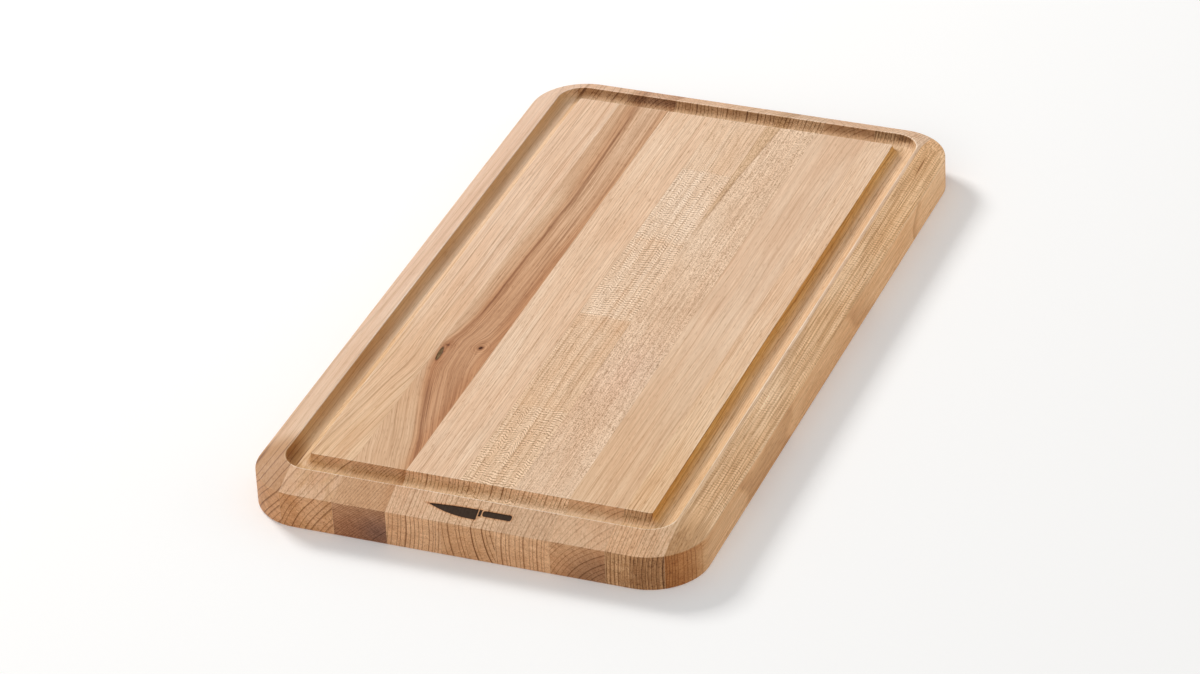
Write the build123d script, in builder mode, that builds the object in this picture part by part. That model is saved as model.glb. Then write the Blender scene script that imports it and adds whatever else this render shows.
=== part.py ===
from build123d import *
import os

# Edge-grain maple cutting board with a juice groove and a wide bevelled rim.
# Nine staves are edge-glued side by side with eight glue lines, and the glued
# panel is machined as one piece: rounded corners, bevelled rim, juice groove
# and eased edges. Each stave and each glue line is its own solid, with its
# own share of the machined surfaces.
# Frame: origin under the middle of the board on the surface it rests on,
# +X across the board to the right, +Y along the staves to the back, +Z up.
# Millimetres.

# --- overall size -------------------------------------------------------------
board_width = 300.0      # across the staves, X
board_length = 541.0     # along the staves, Y
board_thickness = 32.7   # underside to cutting surface, Z
corner_radius = 37.5     # upright corners of the board

# --- bevelled rim -------------------------------------------------------------
edge_height = 24.2       # upright edge below the bevel
bevel_run = 20.3         # plan width of the bevel, before the groove is cut
bevel_drop = board_thickness - edge_height

# --- juice groove, cut with a round-nosed cutter --------------------------------
groove_radius = 8.2      # nose radius of the cutter
groove_depth = 6.6       # cutting surface to the bottom of the groove
groove_inset = 27.8      # board edge to the groove's centre line
groove_corner = corner_radius - groove_inset   # concentric with the board's corner
groove_axis_z = board_thickness - groove_depth + groove_radius

# --- eased edges ----------------------------------------------------------------
lip_round = 0.5          # inner lip of the groove: edge of the cutting surface
rim_round = 1.0          # outer lip of the groove: crest of the rim
bevel_round = 0.8        # bevel to upright edge
foot_round = 1.2         # upright edge to underside

# --- staves ---------------------------------------------------------------------
glue = 0.12              # thickness of a cured glue line
# glue joints from left to right, as distances from the board's left edge
joint_1 = 28.6
joint_2 = 65.0
joint_3 = 100.8
joint_4 = 137.3
joint_5 = 173.5
joint_6 = 209.4
joint_7 = 246.0
joint_8 = 282.5


def strip_centre(left, right):
    """X of the middle of a strip that runs from left to right of the board's left edge."""
    return (left + right) / 2 - board_width / 2


# --- the machined panel: what the cutters leave of the glued-up blank ---------------
with BuildPart() as panel:
    with BuildSketch():
        RectangleRounded(board_width, board_length, corner_radius)
    extrude(amount=board_thickness)

    # wide bevel all round the cutting side
    top_face = panel.faces().sort_by(Axis.Z)[-1]
    chamfer(top_face.edges(), length=bevel_run, length2=bevel_drop, reference=top_face)

    # juice groove: a round-nosed cutter run along a rounded rectangle
    with BuildLine(Plane.XY.offset(groove_axis_z)) as route:
        gx = board_width / 2 - groove_inset
        gy = board_length / 2 - groove_inset
        FilletPolyline(
            (gx, -gy), (gx, gy), (-gx, gy), (-gx, -gy),
            radius=groove_corner, close=True,
        )
    with BuildSketch(
        Plane(origin=route.wire() @ 0, z_dir=route.wire() % 0)
    ):
        Circle(groove_radius)
    sweep(path=route.wire(), mode=Mode.SUBTRACT)

    # eased edges, sanded once the cutters are done
    lip_edges = panel.edges().group_by(Axis.Z)[-1]
    rim_edges = panel.edges().group_by(Axis.Z)[-2]
    bevel_edges = panel.edges().filter_by_position(
        Axis.Z, edge_height - 0.01, edge_height + 0.01
    )
    foot_edges = panel.edges().group_by(Axis.Z)[0]
    fillet(lip_edges, radius=lip_round)
    fillet(rim_edges, radius=rim_round)
    fillet(bevel_edges, radius=bevel_round)
    fillet(foot_edges, radius=foot_round)

# --- the nine staves ------------------------------------------------------------------
# Each stave is a full-length rectangular strip of wood, planed square, that keeps
# what the cutters leave of it.

# left-hand edge stave: carries the whole left bevel, upright edge and most of the left groove
with BuildPart() as stave_1_left_edge:
    with BuildSketch():
        with Locations((strip_centre(0, joint_1 - glue / 2), 0)):
            Rectangle(joint_1 - glue / 2, board_length)
    extrude(amount=board_thickness)
    add(panel.part, mode=Mode.INTERSECT)

# light stave with streaks, inside the left groove
with BuildPart() as stave_2_streaked:
    with BuildSketch():
        with Locations((strip_centre(joint_1 + glue / 2, joint_2 - glue / 2), 0)):
            Rectangle(joint_2 - joint_1 - glue, board_length)
    extrude(amount=board_thickness)
    add(panel.part, mode=Mode.INTERSECT)

# brown heartwood stave with the small knots
with BuildPart() as stave_3_heartwood:
    with BuildSketch():
        with Locations((strip_centre(joint_2 + glue / 2, joint_3 - glue / 2), 0)):
            Rectangle(joint_3 - joint_2 - glue, board_length)
    extrude(amount=board_thickness)
    add(panel.part, mode=Mode.INTERSECT)

# pale straight-grained stave
with BuildPart() as stave_4_pale:
    with BuildSketch():
        with Locations((strip_centre(joint_3 + glue / 2, joint_4 - glue / 2), 0)):
            Rectangle(joint_4 - joint_3 - glue, board_length)
    extrude(amount=board_thickness)
    add(panel.part, mode=Mode.INTERSECT)

# middle stave, curly figure; its flat underside carries the rest mount
with BuildPart() as stave_5_figured:
    with BuildSketch():
        with Locations((strip_centre(joint_4 + glue / 2, joint_5 - glue / 2), 0)):
            Rectangle(joint_5 - joint_4 - glue, board_length)
    extrude(amount=board_thickness)
    add(panel.part, mode=Mode.INTERSECT)

# stave with fine flecks
with BuildPart() as stave_6_flecked:
    with BuildSketch():
        with Locations((strip_centre(joint_5 + glue / 2, joint_6 - glue / 2), 0)):
            Rectangle(joint_6 - joint_5 - glue, board_length)
    extrude(amount=board_thickness)
    add(panel.part, mode=Mode.INTERSECT)

# light tan stave
with BuildPart() as stave_7_tan:
    with BuildSketch():
        with Locations((strip_centre(joint_6 + glue / 2, joint_7 - glue / 2), 0)):
            Rectangle(joint_7 - joint_6 - glue, board_length)
    extrude(amount=board_thickness)
    add(panel.part, mode=Mode.INTERSECT)

# straight-grained stave under the right groove
with BuildPart() as stave_8_straight:
    with BuildSketch():
        with Locations((strip_centre(joint_7 + glue / 2, joint_8 - glue / 2), 0)):
            Rectangle(joint_8 - joint_7 - glue, board_length)
    extrude(amount=board_thickness)
    add(panel.part, mode=Mode.INTERSECT)

# right-hand edge stave: carries the right upright edge and most of the right bevel
with BuildPart() as stave_9_right_edge:
    with BuildSketch():
        with Locations((strip_centre(joint_8 + glue / 2, board_width), 0)):
            Rectangle(board_width - joint_8 - glue / 2, board_length)
    extrude(amount=board_thickness)
    add(panel.part, mode=Mode.INTERSECT)

# --- the eight glue lines ----------------------------------------------------------------
# Cured wood glue fills each joint from underside to surface and is cut flush
# with the wood by the same cutters.

with BuildPart() as glue_line_1:
    with BuildSketch():
        with Locations((joint_1 - board_width / 2, 0)):
            Rectangle(glue, board_length)
    extrude(amount=board_thickness)
    add(panel.part, mode=Mode.INTERSECT)

with BuildPart() as glue_line_2:
    with BuildSketch():
        with Locations((joint_2 - board_width / 2, 0)):
            Rectangle(glue, board_length)
    extrude(amount=board_thickness)
    add(panel.part, mode=Mode.INTERSECT)

with BuildPart() as glue_line_3:
    with BuildSketch():
        with Locations((joint_3 - board_width / 2, 0)):
            Rectangle(glue, board_length)
    extrude(amount=board_thickness)
    add(panel.part, mode=Mode.INTERSECT)

with BuildPart() as glue_line_4:
    with BuildSketch():
        with Locations((joint_4 - board_width / 2, 0)):
            Rectangle(glue, board_length)
    extrude(amount=board_thickness)
    add(panel.part, mode=Mode.INTERSECT)

with BuildPart() as glue_line_5:
    with BuildSketch():
        with Locations((joint_5 - board_width / 2, 0)):
            Rectangle(glue, board_length)
    extrude(amount=board_thickness)
    add(panel.part, mode=Mode.INTERSECT)

with BuildPart() as glue_line_6:
    with BuildSketch():
        with Locations((joint_6 - board_width / 2, 0)):
            Rectangle(glue, board_length)
    extrude(amount=board_thickness)
    add(panel.part, mode=Mode.INTERSECT)

with BuildPart() as glue_line_7:
    with BuildSketch():
        with Locations((joint_7 - board_width / 2, 0)):
            Rectangle(glue, board_length)
    extrude(amount=board_thickness)
    add(panel.part, mode=Mode.INTERSECT)

with BuildPart() as glue_line_8:
    with BuildSketch():
        with Locations((joint_8 - board_width / 2, 0)):
            Rectangle(glue, board_length)
    extrude(amount=board_thickness)
    add(panel.part, mode=Mode.INTERSECT)

# --- labels and files ------------------------------------------------------------------------
os.makedirs("parts", exist_ok=True)

stave_1_left_edge.part.label = "stave_1_left_edge"
export_step(stave_1_left_edge.part, "parts/stave_1_left_edge.step")

stave_2_streaked.part.label = "stave_2_streaked"
export_step(stave_2_streaked.part, "parts/stave_2_streaked.step")

stave_3_heartwood.part.label = "stave_3_heartwood"
export_step(stave_3_heartwood.part, "parts/stave_3_heartwood.step")

stave_4_pale.part.label = "stave_4_pale"
export_step(stave_4_pale.part, "parts/stave_4_pale.step")

stave_5_figured.part.label = "stave_5_figured"
export_step(stave_5_figured.part, "parts/stave_5_figured.step")

stave_6_flecked.part.label = "stave_6_flecked"
export_step(stave_6_flecked.part, "parts/stave_6_flecked.step")

stave_7_tan.part.label = "stave_7_tan"
export_step(stave_7_tan.part, "parts/stave_7_tan.step")

stave_8_straight.part.label = "stave_8_straight"
export_step(stave_8_straight.part, "parts/stave_8_straight.step")

stave_9_right_edge.part.label = "stave_9_right_edge"
export_step(stave_9_right_edge.part, "parts/stave_9_right_edge.step")

glue_line_1.part.label = "glue_line_1"
export_step(glue_line_1.part, "parts/glue_line_1.step")

glue_line_2.part.label = "glue_line_2"
export_step(glue_line_2.part, "parts/glue_line_2.step")

glue_line_3.part.label = "glue_line_3"
export_step(glue_line_3.part, "parts/glue_line_3.step")

glue_line_4.part.label = "glue_line_4"
export_step(glue_line_4.part, "parts/glue_line_4.step")

glue_line_5.part.label = "glue_line_5"
export_step(glue_line_5.part, "parts/glue_line_5.step")

glue_line_6.part.label = "glue_line_6"
export_step(glue_line_6.part, "parts/glue_line_6.step")

glue_line_7.part.label = "glue_line_7"
export_step(glue_line_7.part, "parts/glue_line_7.step")

glue_line_8.part.label = "glue_line_8"
export_step(glue_line_8.part, "parts/glue_line_8.step")

pieces = [
    stave_1_left_edge, stave_2_streaked, stave_3_heartwood, stave_4_pale,
    stave_5_figured, stave_6_flecked, stave_7_tan, stave_8_straight,
    stave_9_right_edge, glue_line_1, glue_line_2, glue_line_3, glue_line_4,
    glue_line_5, glue_line_6, glue_line_7, glue_line_8,
]
print("panel mm3", round(panel.part.volume, 1))
print("pieces mm3", round(sum(p.part.volume for p in pieces), 1))
for p in pieces:
    box = p.part.bounding_box()
    print(
        p.part.label, len(p.part.solids()), round(p.part.volume, 1),
        [round(v, 2) for v in box.min], [round(v, 2) for v in box.max],
    )
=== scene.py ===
import math

import bmesh
import bpy
import numpy as np
from mathutils import Matrix, Vector


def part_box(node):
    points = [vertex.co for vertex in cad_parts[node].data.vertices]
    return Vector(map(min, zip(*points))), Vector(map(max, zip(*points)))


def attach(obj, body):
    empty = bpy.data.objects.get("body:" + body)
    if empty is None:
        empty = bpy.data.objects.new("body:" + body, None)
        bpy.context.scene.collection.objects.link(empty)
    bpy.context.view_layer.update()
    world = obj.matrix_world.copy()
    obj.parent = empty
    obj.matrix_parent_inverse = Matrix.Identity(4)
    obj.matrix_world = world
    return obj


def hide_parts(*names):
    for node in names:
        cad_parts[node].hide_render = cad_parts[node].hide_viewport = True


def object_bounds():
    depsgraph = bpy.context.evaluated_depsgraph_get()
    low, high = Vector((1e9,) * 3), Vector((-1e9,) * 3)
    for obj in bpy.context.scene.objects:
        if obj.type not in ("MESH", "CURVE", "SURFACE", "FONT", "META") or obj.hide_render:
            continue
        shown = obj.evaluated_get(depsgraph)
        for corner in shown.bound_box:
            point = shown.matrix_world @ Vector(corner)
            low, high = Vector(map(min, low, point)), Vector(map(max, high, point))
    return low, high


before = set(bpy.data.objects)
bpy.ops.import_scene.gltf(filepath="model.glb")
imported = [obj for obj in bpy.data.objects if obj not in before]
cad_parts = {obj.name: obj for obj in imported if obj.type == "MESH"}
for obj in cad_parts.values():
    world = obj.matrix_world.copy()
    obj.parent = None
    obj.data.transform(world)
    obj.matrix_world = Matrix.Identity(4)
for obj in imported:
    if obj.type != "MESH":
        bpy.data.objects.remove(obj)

cad_lo, cad_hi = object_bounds()

# ------------------------------------------------------------------------------
# Edge-grain maple cutting board: nine staves, eight glue lines, juice groove and
# a wide bevelled rim. Shape constants are in millimetres and repeat the CAD.
# ------------------------------------------------------------------------------
HALF_W = cad_hi.x * 1000.0          # 150
HALF_L = cad_hi.y * 1000.0          # 270.5
THICK = cad_hi.z * 1000.0           # 32.7
CORNER = 37.5                       # upright corners
EDGE_H = 24.2                       # upright edge below the bevel
BEVEL_RUN, BEVEL_DROP = 20.3, 8.5
G_RAD, G_DEPTH, G_INSET = 8.2, 6.6, 27.8
LIP, RIM, BEV, FOOT = 0.5, 1.0, 0.8, 1.2
G_Z = THICK - G_DEPTH + G_RAD
SLOPE = math.atan2(BEVEL_DROP, BEVEL_RUN)
CX, CY = HALF_W - CORNER, HALF_L - CORNER     # corner centres


# ------------------------------------------------------------------------------
# Section of the machined edge: points (distance in from the outline, height)
# with the outward normal (away from the board's middle, up).
# ------------------------------------------------------------------------------
def section(n_foot, n_bev, n_rim, n_groove, n_lip, step=None):
    pts = []

    def put(d, z, no, nz):
        if pts and math.hypot(pts[-1][0] - d, pts[-1][1] - z) < 1e-6:
            return
        pts.append((d, z, no, nz))

    def line_to(d, z, no, nz, n):
        d0, z0 = pts[-1][0], pts[-1][1]
        if step:
            n = max(1, int(math.hypot(d - d0, z - z0) / step))
        for i in range(1, n + 1):
            t = i / n
            put(d0 + (d - d0) * t, z0 + (z - z0) * t, no, nz)

    def arc(cd, cz, r, a0, a1, n, first=True):
        # a = angle of the outward normal, 0 level outwards, 90 straight up
        for i in range(0 if first else 1, n + 1):
            a = a0 + (a1 - a0) * i / n
            put(cd - r * math.cos(a), cz + r * math.sin(a), math.cos(a), math.sin(a))

    # underside to upright edge
    arc(FOOT, FOOT, FOOT, -math.pi / 2, 0.0, n_foot)
    # upright edge to bevel
    nb = math.pi / 2 - SLOPE
    t = BEV * math.tan(nb / 2)
    line_to(0.0, EDGE_H - t, 1.0, 0.0, 4)
    arc(BEV, EDGE_H - t, BEV, 0.0, nb, n_bev)
    # rim crest: round that touches the bevel and the groove
    c, s = math.cos(SLOPE), math.sin(SLOPE)
    ox, oz = 0.0 + s * RIM, EDGE_H - c * RIM          # a point of the offset bevel line
    # solve |(ox,oz)+k(c,s) - G| = G_RAD + RIM
    ux, uz = ox - G_INSET, oz - G_Z
    bq = ux * c + uz * s
    cq = ux * ux + uz * uz - (G_RAD + RIM) ** 2
    k = -bq - math.sqrt(bq * bq - cq)
    rc = (ox + k * c, oz + k * s)
    line_to(rc[0] - s * RIM, rc[1] + c * RIM, math.cos(nb), math.sin(nb), 4)
    gx, gz = (G_INSET - rc[0]) / (G_RAD + RIM), (G_Z - rc[1]) / (G_RAD + RIM)
    a_end = math.atan2(gz, -gx)
    if a_end < nb:
        a_end += 2 * math.pi
    arc(rc[0], rc[1], RIM, nb, a_end, n_rim)
    # groove
    lc = (G_INSET + math.sqrt((G_RAD + LIP) ** 2 - (G_Z - THICK + LIP) ** 2), THICK - LIP)
    p0 = math.atan2(rc[1] - G_Z, rc[0] - G_INSET)
    p1 = math.atan2(lc[1] - G_Z, lc[0] - G_INSET)
    if p0 > 0:
        p0 -= 2 * math.pi
    if p1 > 0:
        p1 -= 2 * math.pi
    for i in range(n_groove + 1):
        p = p0 + (p1 - p0) * i / n_groove
        put(G_INSET + G_RAD * math.cos(p), G_Z + G_RAD * math.sin(p), math.cos(p), -math.sin(p))
    # inner lip: from the groove wall's normal to straight up
    lx, lz = (G_INSET - lc[0]) / (G_RAD + LIP), (G_Z - lc[1]) / (G_RAD + LIP)
    arc(lc[0], lc[1], LIP, math.atan2(lz, -lx), math.pi / 2, n_lip)
    return pts


RINGS = section(6, 5, 8, 32, 5)
DENSE = np.array(section(60, 60, 90, 400, 60, step=0.08))


def outline(n_arc=30, n_x=26, n_y=54):
    """Base points and outward directions round the board, corner arcs and straight runs."""
    base, out = [], []
    corners = [(CX, CY, 0.0), (-CX, CY, 90.0), (-CX, -CY, 180.0), (CX, -CY, 270.0)]
    runs = [n_x, n_y, n_x, n_y]
    for k, (cx, cy, a0) in enumerate(corners):
        for i in range(n_arc + 1):
            a = math.radians(a0 + 90.0 * i / n_arc)
            base.append((cx, cy))
            out.append((math.cos(a), math.sin(a)))
        nx, ny, _ = corners[(k + 1) % 4]
        a = math.radians(a0 + 90.0)
        for i in range(1, runs[k]):
            t = i / runs[k]
            base.append((cx + (nx - cx) * t, cy + (ny - cy) * t))
            out.append((math.cos(a), math.sin(a)))
    return np.array(base), np.array(out), n_arc, n_x, n_y


def board_mesh():
    base, out, n_arc, n_x, n_y = outline()
    n = len(base)
    verts, faces = [], []
    rings = []
    for d, z, _, _ in RINGS:
        r = CORNER - d
        p = base + out * r
        start = len(verts)
        verts += [(x, y, z) for x, y in p]
        rings.append([start + i for i in range(n)])
    for a, b in zip(rings[:-1], rings[1:]):
        for i in range(n):
            j = (i + 1) % n
            faces.append((a[i], a[j], b[j], b[i]))

    def cap(ring, z):
        # straight-run points of the inner rectangle, then a grid of quads across it
        inner = {}
        ids = []
        for i in range(n):
            key = (round(base[i][0], 5), round(base[i][1], 5))
            if key not in inner:
                inner[key] = len(verts)
                verts.append((base[i][0], base[i][1], z))
            ids.append(inner[key])
        for i in range(n):
            j = (i + 1) % n
            f = [ring[i], ring[j], ids[j], ids[i]]
            if ids[i] == ids[j]:
                f = f[:3]
            faces.append(tuple(f))
        xs = [-CX + 2 * CX * i / n_x for i in range(n_x + 1)]
        ys = [-CY + 2 * CY * i / n_y for i in range(n_y + 1)]
        grid = {}
        for i, x in enumerate(xs):
            for j, y in enumerate(ys):
                key = (round(x, 5), round(y, 5))
                if key in inner:
                    grid[i, j] = inner[key]
                else:
                    grid[i, j] = len(verts)
                    verts.append((x, y, z))
        for i in range(n_x):
            for j in range(n_y):
                faces.append((grid[i, j], grid[i + 1, j], grid[i + 1, j + 1], grid[i, j + 1]))

    cap(rings[0], 0.0)
    cap(rings[-1], THICK)
    me = bpy.data.meshes.new("board_blank")
    me.from_pydata([(x / 1000, y / 1000, z / 1000) for x, y, z in verts], [], faces)
    bm = bmesh.new()
    bm.from_mesh(me)
    bmesh.ops.recalc_face_normals(bm, faces=bm.faces[:])
    if bm.calc_volume(signed=True) < 0:
        bmesh.ops.reverse_faces(bm, faces=bm.faces[:])
    bm.to_mesh(me)
    bm.free()
    return me


# ------------------------------------------------------------------------------
# Small real recesses, cut into the whole board before it is divided into staves
# ------------------------------------------------------------------------------
NB = Vector((0.0, -math.sin(SLOPE), math.cos(SLOPE)))       # front bevel's normal
VB = Vector((0.0, math.cos(SLOPE), math.sin(SLOPE)))        # up the front bevel
MARK_DEEP = 0.28


def bevel_point(u, v, w):
    """Point on the front bevel: u across the board, v up the slope from its outer edge, w above it."""
    p = Vector((0.0, -HALF_L, EDGE_H)) + VB * v + NB * w
    return ((u + p.x) / 1000, p.y / 1000, p.z / 1000)


def knife_outlines():
    """Blade, bolster and handle of a plain chef's knife, as polygons in the bevel's u, v."""
    blade = []
    n = 30
    for i in range(n + 1):          # belly, tip to heel
        u = -24.6 + (8.8 + 24.6) * i / n
        blade.append((u, 84.2 - math.sqrt(78.0 ** 2 - (u - 6.0) ** 2)))
    for i in range(n + 1):          # spine, heel to tip
        u = 8.8 - (8.8 + 24.3) * i / n
        blade.append((u, -375.2 + math.sqrt(389.0 ** 2 - (u - 9.0) ** 2)))
    bolster = [(9.5, 9.0), (11.3, 9.0), (11.3, 13.8), (9.5, 13.8)]
    handle = []
    cu, cv, hu, hv, r = 21.6, 11.5, 9.6, 2.1, 1.5
    for sx, sy, a0 in ((1, 1, 0), (-1, 1, 90), (-1, -1, 180), (1, -1, 270)):
        for i in range(9):
            a = math.radians(a0 + 90 * i / 8)
            handle.append((cu + sx * (hu - r) + r * math.cos(a), cv + sy * (hv - r) + r * math.sin(a)))
    return [blade, bolster, handle]


def prism(name, outline_uv, lo, hi):
    me = bpy.data.meshes.new(name)
    n = len(outline_uv)
    vs = [bevel_point(u, v, lo) for u, v in outline_uv] + [bevel_point(u, v, hi) for u, v in outline_uv]
    fs = [tuple(range(n - 1, -1, -1)), tuple(range(n, 2 * n))]
    fs += [(i, (i + 1) % n, n + (i + 1) % n, n + i) for i in range(n)]
    me.from_pydata(vs, [], fs)
    bm = bmesh.new()
    bm.from_mesh(me)
    bmesh.ops.remove_doubles(bm, verts=bm.verts[:], dist=1e-6)
    bmesh.ops.recalc_face_normals(bm, faces=bm.faces[:])
    bm.to_mesh(me)
    bm.free()
    return bpy.data.objects.new(name, me)


def sliver(name, cx, cy, cz, length, width, depth, lean, nu=28, nv=14):
    """A pointed, slightly crooked pocket in the wood, for a bark inclusion or a check."""
    me = bpy.data.meshes.new(name)
    bm = bmesh.new()
    rows = []
    for i in range(nu + 1):
        t = -1 + 2 * i / nu
        w = max(0.0, 1 - abs(t) ** 1.7)
        w *= 1 + 0.18 * math.sin(5.1 * t + cx) + 0.1 * math.sin(13.0 * t)
        off = 0.22 * math.sin(3.0 * t + 0.7) + 0.12 * math.sin(9.0 * t)
        row = []
        for j in range(nv):
            a = 2 * math.pi * j / nv
            x = (off + 0.5 * w * math.cos(a)) * width
            z = w * math.sin(a) * depth
            y = t * length / 2
            row.append(bm.verts.new(((cx + x + lean * y) / 1000, (cy + y) / 1000, (cz + z) / 1000)))
        rows.append(row)
    for a, b in zip(rows[:-1], rows[1:]):
        for j in range(nv):
            k = (j + 1) % nv
            bm.faces.new((a[j], a[k], b[k], b[j]))
    bmesh.ops.remove_doubles(bm, verts=bm.verts[:], dist=1e-6)
    bmesh.ops.recalc_face_normals(bm, faces=bm.faces[:])
    if bm.calc_volume(signed=True) < 0:
        bmesh.ops.reverse_faces(bm, faces=bm.faces[:])
    bm.to_mesh(me)
    bm.free()
    return bpy.data.objects.new(name, me)


def carve(me, cutters):
    """Difference of the mesh and each cutter in turn; returns a new mesh."""
    scene = bpy.context.scene
    ob = bpy.data.objects.new("carve_blank", me)
    scene.collection.objects.link(ob)
    for c in cutters:
        scene.collection.objects.link(c)
        mod = ob.modifiers.new("cut", "BOOLEAN")
        mod.operation = "DIFFERENCE"
        mod.solver = "EXACT"
        mod.object = c
    dg = bpy.context.evaluated_depsgraph_get()
    out = bpy.data.meshes.new_from_object(ob.evaluated_get(dg), depsgraph=dg)
    for o in [ob] + cutters:
        m = o.data
        bpy.data.objects.remove(o)
        bpy.data.meshes.remove(m)
    return out


# ------------------------------------------------------------------------------
# Dividing the board and giving every corner its exact normal
# ------------------------------------------------------------------------------
def slab(me, x0, x1, name):
    bm = bmesh.new()
    bm.from_mesh(me)
    for x, inner, outer in ((x0, True, False), (x1, False, True)):
        if x is None:
            continue
        geom = bm.verts[:] + bm.edges[:] + bm.faces[:]
        bmesh.ops.bisect_plane(bm, geom=geom, dist=1e-7, plane_co=(x, 0, 0), plane_no=(1, 0, 0), clear_inner=inner, clear_outer=outer)
        rim = [e for e in bm.edges if e.is_boundary]
        bmesh.ops.holes_fill(bm, edges=rim, sides=0)
    bmesh.ops.recalc_face_normals(bm, faces=bm.faces[:])
    if bm.calc_volume(signed=True) < 0:
        bmesh.ops.reverse_faces(bm, faces=bm.faces[:])
    open_edges = sum(1 for e in bm.edges if not e.is_manifold)
    out = bpy.data.meshes.new(name)
    bm.to_mesh(out)
    bm.free()
    if open_edges:
        print("note:", name, "has", open_edges, "open edges")
    return out


def surface_normals(co):
    """Exact normal of the machined surface nearest each point (mm), and its distance from it."""
    x, y, z = co[:, 0], co[:, 1], co[:, 2]
    qx = np.maximum(np.abs(x) - CX, 0.0)
    qy = np.maximum(np.abs(y) - CY, 0.0)
    r = np.hypot(qx, qy)
    inside = r < 1e-9
    rr = np.where(inside, 1.0, r)
    ux = np.where(inside, 0.0, np.sign(x) * qx / rr)
    uy = np.where(inside, 0.0, np.sign(y) * qy / rr)
    d = CORNER - r
    n = np.zeros_like(co)
    dist = np.zeros(len(co))
    lip_d = DENSE[-1, 0]
    top = d >= lip_d - 1e-6
    bottom = (z < 1e-4) & (d >= FOOT - 1e-6)
    flat_top = top & (z > THICK / 2)
    n[flat_top] = (0, 0, 1)
    dist[flat_top] = np.abs(THICK - z[flat_top])
    n[bottom] = (0, 0, -1)
    rest = np.where(~(flat_top | bottom))[0]
    for s in range(0, len(rest), 600):
        idx = rest[s:s + 600]
        dd = (d[idx, None] - DENSE[None, :, 0]) ** 2 + (z[idx, None] - DENSE[None, :, 1]) ** 2
        k = dd.argmin(1)
        dist[idx] = np.sqrt(dd[np.arange(len(idx)), k])
        no, nz = DENSE[k, 2], DENSE[k, 3]
        n[idx, 0] = ux[idx] * no
        n[idx, 1] = uy[idx] * no
        n[idx, 2] = nz
    return n, dist


def set_normals(me):
    nv, npoly = len(me.vertices), len(me.polygons)
    co = np.empty(nv * 3, np.float64)
    me.vertices.foreach_get("co", co)
    co = co.reshape(-1, 3) * 1000.0
    sn, sd = surface_normals(co)
    fn = np.empty(npoly * 3, np.float64)
    me.polygons.foreach_get("normal", fn)
    fn = fn.reshape(-1, 3)
    area = np.empty(npoly)
    me.polygons.foreach_get("area", area)
    start = np.empty(npoly, np.int64)
    total = np.empty(npoly, np.int64)
    me.polygons.foreach_get("loop_start", start)
    me.polygons.foreach_get("loop_total", total)
    lv = np.empty(len(me.loops), np.int64)
    me.loops.foreach_get("vertex_index", lv)
    lp = np.repeat(np.arange(npoly), total)
    order = np.argsort(np.repeat(start, total) + np.concatenate([np.arange(t) for t in total]))
    lp = lp[order]
    ln = sn[lv]
    near = (sd[lv] < 0.03)
    agree = (ln * fn[lp]).sum(1)
    # a face belongs to the machined surface when all its corners lie on it and face its way
    ok_loop = near & (agree > 0.93)
    ok_face = np.ones(npoly, bool)
    np.logical_and.at(ok_face, lp, ok_loop)
    use = ok_face[lp]
    out = np.where(use[:, None], ln, fn[lp])
    # recess walls and floors: blend with the neighbours that turn gently
    rest = np.where(~use)[0]
    by_v = {}
    for li in rest:
        by_v.setdefault(lv[li], []).append(lp[li])
    for li in rest:
        f = lp[li]
        if abs(fn[f][0]) > 0.9999 and area[f] > 1e-4:
            continue
        acc = np.zeros(3)
        for g in by_v[lv[li]]:
            if fn[g].dot(fn[f]) > 0.75 and not abs(fn[g][0]) > 0.9999:
                acc += fn[g] * area[g]
        m = np.linalg.norm(acc)
        if m > 0:
            out[li] = acc / m
    me.polygons.foreach_set("use_smooth", [True] * npoly)
    me.normals_split_custom_set([tuple(v) for v in out])
    me.update()


# ------------------------------------------------------------------------------
# A short way of writing shader maths
# ------------------------------------------------------------------------------
class Val:
    """A value or vector in a node tree."""

    def __init__(self, g, s):
        self.g, self.s = g, s

    def __add__(self, o): return self.g.m("ADD", self, o)
    def __radd__(self, o): return self.g.m("ADD", o, self)
    def __sub__(self, o): return self.g.m("SUBTRACT", self, o)
    def __rsub__(self, o): return self.g.m("SUBTRACT", o, self)
    def __mul__(self, o): return self.g.m("MULTIPLY", self, o)
    def __rmul__(self, o): return self.g.m("MULTIPLY", o, self)
    def __truediv__(self, o): return self.g.m("DIVIDE", self, o)
    def __neg__(self): return self.g.m("MULTIPLY", self, -1.0)


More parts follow.
